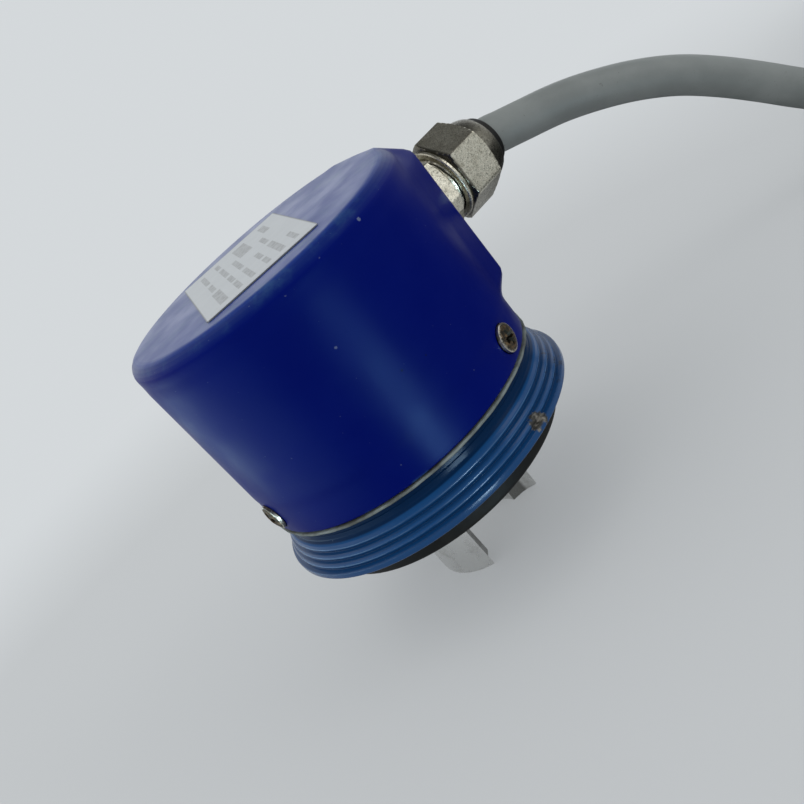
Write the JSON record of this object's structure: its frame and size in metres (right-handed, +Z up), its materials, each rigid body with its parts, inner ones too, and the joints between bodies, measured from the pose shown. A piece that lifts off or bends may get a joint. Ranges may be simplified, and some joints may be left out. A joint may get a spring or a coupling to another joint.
{
  "type": "rotary encoder",
  "caption": "Round flange-mounted rotary encoder with a blue cap, side cable gland with coiled pigtail, and a jaw coupling hub on its ball-bearing shaft.",
  "frame": {"origin": "on the shaft axis, in the plane of the coupling jaws' free ends, which is the surface it stands on", "axes": "+Z up along the shaft from the coupling to the cap's top, +X along the cable gland"},
  "size_m": [0.2988, 0.0984, 0.0735],
  "materials": {
    "cap_paint": "deep blue satin paint on a cast aluminium cap, lightly scuffed",
    "flange_paint": "steel-blue gloss enamel on a turned aluminium flange, chipped at the rim",
    "black_rubber": "matt black rubber",
    "gasket_sheet": "thin grey-green gasket sheet",
    "bare_aluminium": "bright bare aluminium",
    "steel": "bright steel",
    "nickel_plate": "nickel-plated brass, dulled and speckled",
    "cage_polymer": "brown moulded polymer",
    "board_laminate": "green laminate",
    "dark_plastic": "black moulded plastic",
    "clear_glass": "clear glass",
    "label_foil": "pale grey bare foil",
    "cable_sheath": "matt grey cable sheath",
    "lead_insulation": "coloured lead insulation"
  },
  "bodies": {
    "housing": {"cap_cover": "cap_paint", "flange": "flange_paint", "face_seal_ring": "black_rubber", "gland_seal": "black_rubber", "shaft_seal": "black_rubber", "cap_gasket": "gasket_sheet", "cap_screw_1": "steel", "cap_screw_2": "steel", "cap_screw_3": "steel", "front_outer_ring": "steel", "rear_outer_ring": "steel", "bearing_spacer": "steel", "wave_spring": "steel", "housing_circlip": "steel", "board_screw_1": "steel", "board_screw_2": "steel", "board_screw_3": "steel", "gland_body": "nickel_plate", "gland_nut": "nickel_plate", "board_standoff_1": "nickel_plate", "board_standoff_2": "nickel_plate", "board_standoff_3": "nickel_plate", "sensor_board": "board_laminate", "led_holder": "dark_plastic", "sensor_chip": "dark_plastic", "board_connector": "dark_plastic", "cable_tie": "dark_plastic", "led_lens": "clear_glass", "name_label": "label_foil", "inner_cable": "cable_sheath", "cable_tube": "cable_sheath", "cable_coil": "cable_sheath", "cable_tail": "cable_sheath", "cable_leads": "lead_insulation"},
    "rotor": {"shaft": "steel", "coupling_hub": "bare_aluminium", "hub_set_screw": "steel", "front_inner_ring": "steel", "rear_inner_ring": "steel", "shaft_circlip": "steel", "disc_hub": "bare_aluminium", "code_disc": "clear_glass", "disc_clamp_ring": "bare_aluminium", "disc_screw": "steel"},
    "front_cage_set": {"front_cage": "cage_polymer", "front_ball_1": "steel", "front_ball_2": "steel", "front_ball_3": "steel", "front_ball_4": "steel", "front_ball_5": "steel", "front_ball_6": "steel", "front_ball_7": "steel"},
    "rear_cage_set": {"rear_cage": "cage_polymer", "rear_ball_1": "steel", "rear_ball_2": "steel", "rear_ball_3": "steel", "rear_ball_4": "steel", "rear_ball_5": "steel", "rear_ball_6": "steel", "rear_ball_7": "steel"}
  },
  "joints": [
    {"name": "shaft_spin", "type": "hinge", "parent": "housing", "child": "rotor", "pos_m": [0, 0, 0], "axis": [0, 0, 1], "continuous": true},
    {"name": "front_cage_spin", "type": "hinge", "parent": "housing", "child": "front_cage_set", "pos_m": [0, 0, 0.0309], "axis": [0, 0, 1], "continuous": true},
    {"name": "rear_cage_spin", "type": "hinge", "parent": "housing", "child": "rear_cage_set", "pos_m": [0, 0, 0.0426], "axis": [0, 0, 1], "continuous": true}
  ],
  "couplings": [
    {"joint": "front_cage_spin", "follows": "shaft_spin", "ratio": 0.3678},
    {"joint": "rear_cage_spin", "follows": "shaft_spin", "ratio": 0.3678}
  ]
}
